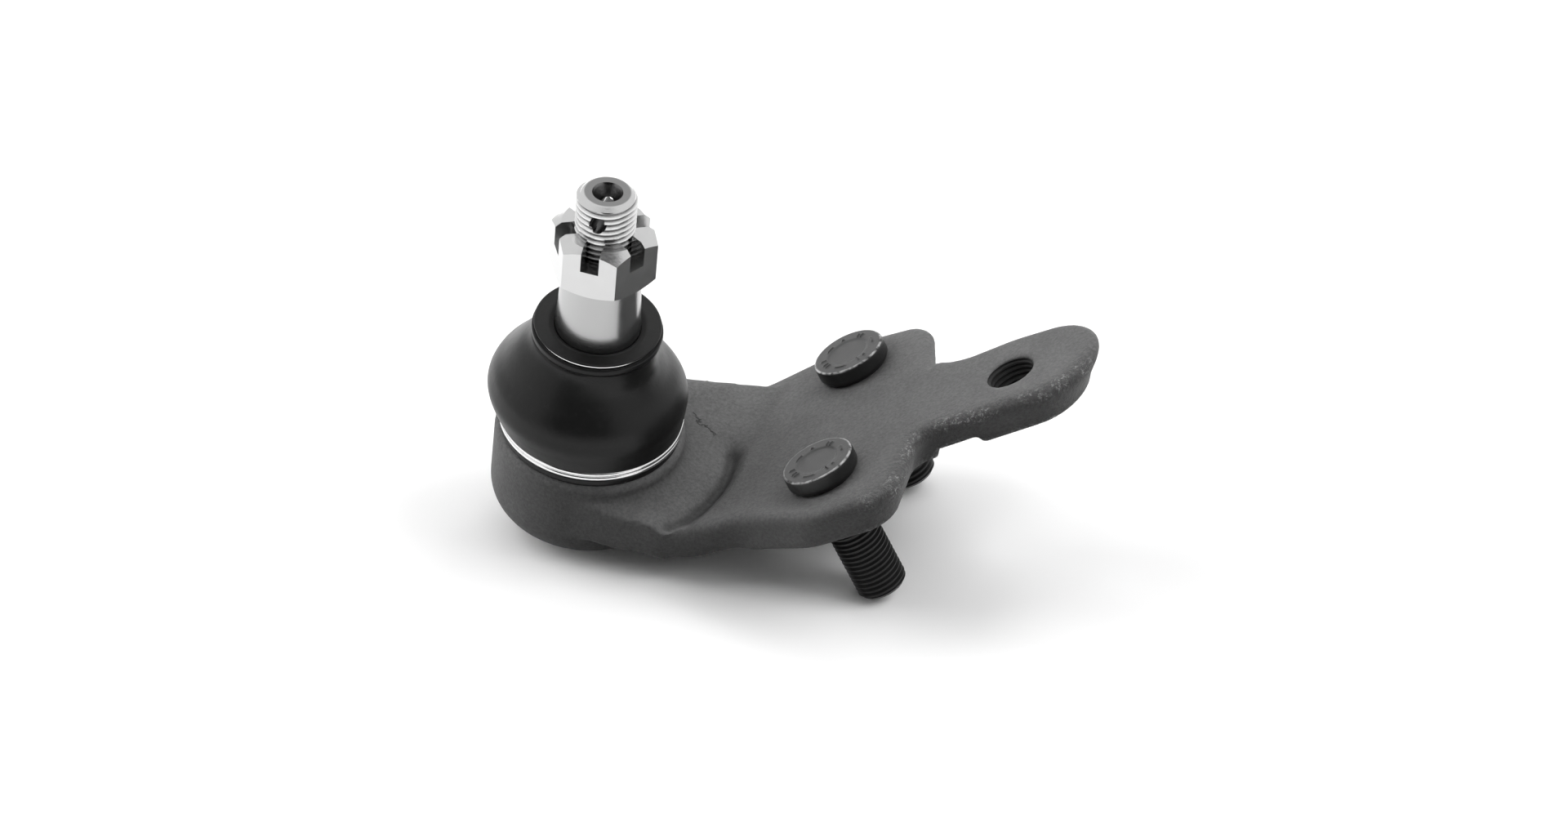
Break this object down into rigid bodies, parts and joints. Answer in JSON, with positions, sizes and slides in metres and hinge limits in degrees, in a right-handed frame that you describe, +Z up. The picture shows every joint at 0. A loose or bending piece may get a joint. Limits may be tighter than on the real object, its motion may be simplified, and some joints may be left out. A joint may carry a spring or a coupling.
{
  "type": "suspension ball joint",
  "caption": "Lower suspension ball joint: tapered stud with castle nut in a booted, forged socket on a tilted arm plate with two bolts and a tongue.",
  "frame": {"origin": "on the bench under the middle of the joint's box, as it lies on the dome of its cover and the tips of both bolts", "axes": "+X along the tongue, away from the socket; +Y across the tongue; +Z up"},
  "size_m": [0.1408, 0.074, 0.096],
  "materials": {
    "forged_steel": "matt grey phosphate on a forged skin",
    "black_bolt_steel": "satin black oxide",
    "ground_steel": "ground and turned",
    "plated_steel": "bright zinc plate",
    "seat_polymer": "moulded",
    "spring_steel": "oiled",
    "cover_steel": "pressed",
    "boot_rubber": "satin",
    "bright_wire": "polished wire"
  },
  "bodies": {
    "housing": {"forged_housing": "forged_steel", "far_arm_bolt": "black_bolt_steel", "near_arm_bolt": "black_bolt_steel", "upper_ball_seat": "seat_polymer", "bottom_cover": "cover_steel", "boot_clamp_ring": "bright_wire"},
    "ball_race": {"lower_ball_seat": "seat_polymer", "preload_spring": "spring_steel", "dust_boot": "boot_rubber"},
    "boot_collar": {"boot_lip_ring": "bright_wire"},
    "stud": {"ball_stud": "ground_steel", "castle_nut": "plated_steel"}
  },
  "joints": [
    {"name": "swing_direction", "type": "hinge", "parent": "housing", "child": "ball_race", "pos_m": [-0.04704, -0.00255, 0.0234], "axis": [0.1119, -0.149, 0.9825], "continuous": true},
    {"name": "stud_tilt", "type": "hinge", "parent": "ball_race", "child": "boot_collar", "pos_m": [-0.04704, -0.00255, 0.0234], "axis": [-0.9076, -0.4179, 0.04], "range_deg": [-27.85, 22.15], "deforming": ["dust_boot"]},
    {"name": "stud_spin", "type": "hinge", "parent": "boot_collar", "child": "stud", "pos_m": [-0.04704, -0.00255, 0.0234], "axis": [0.0917, -0.1043, 0.9903], "continuous": true}
  ]
}
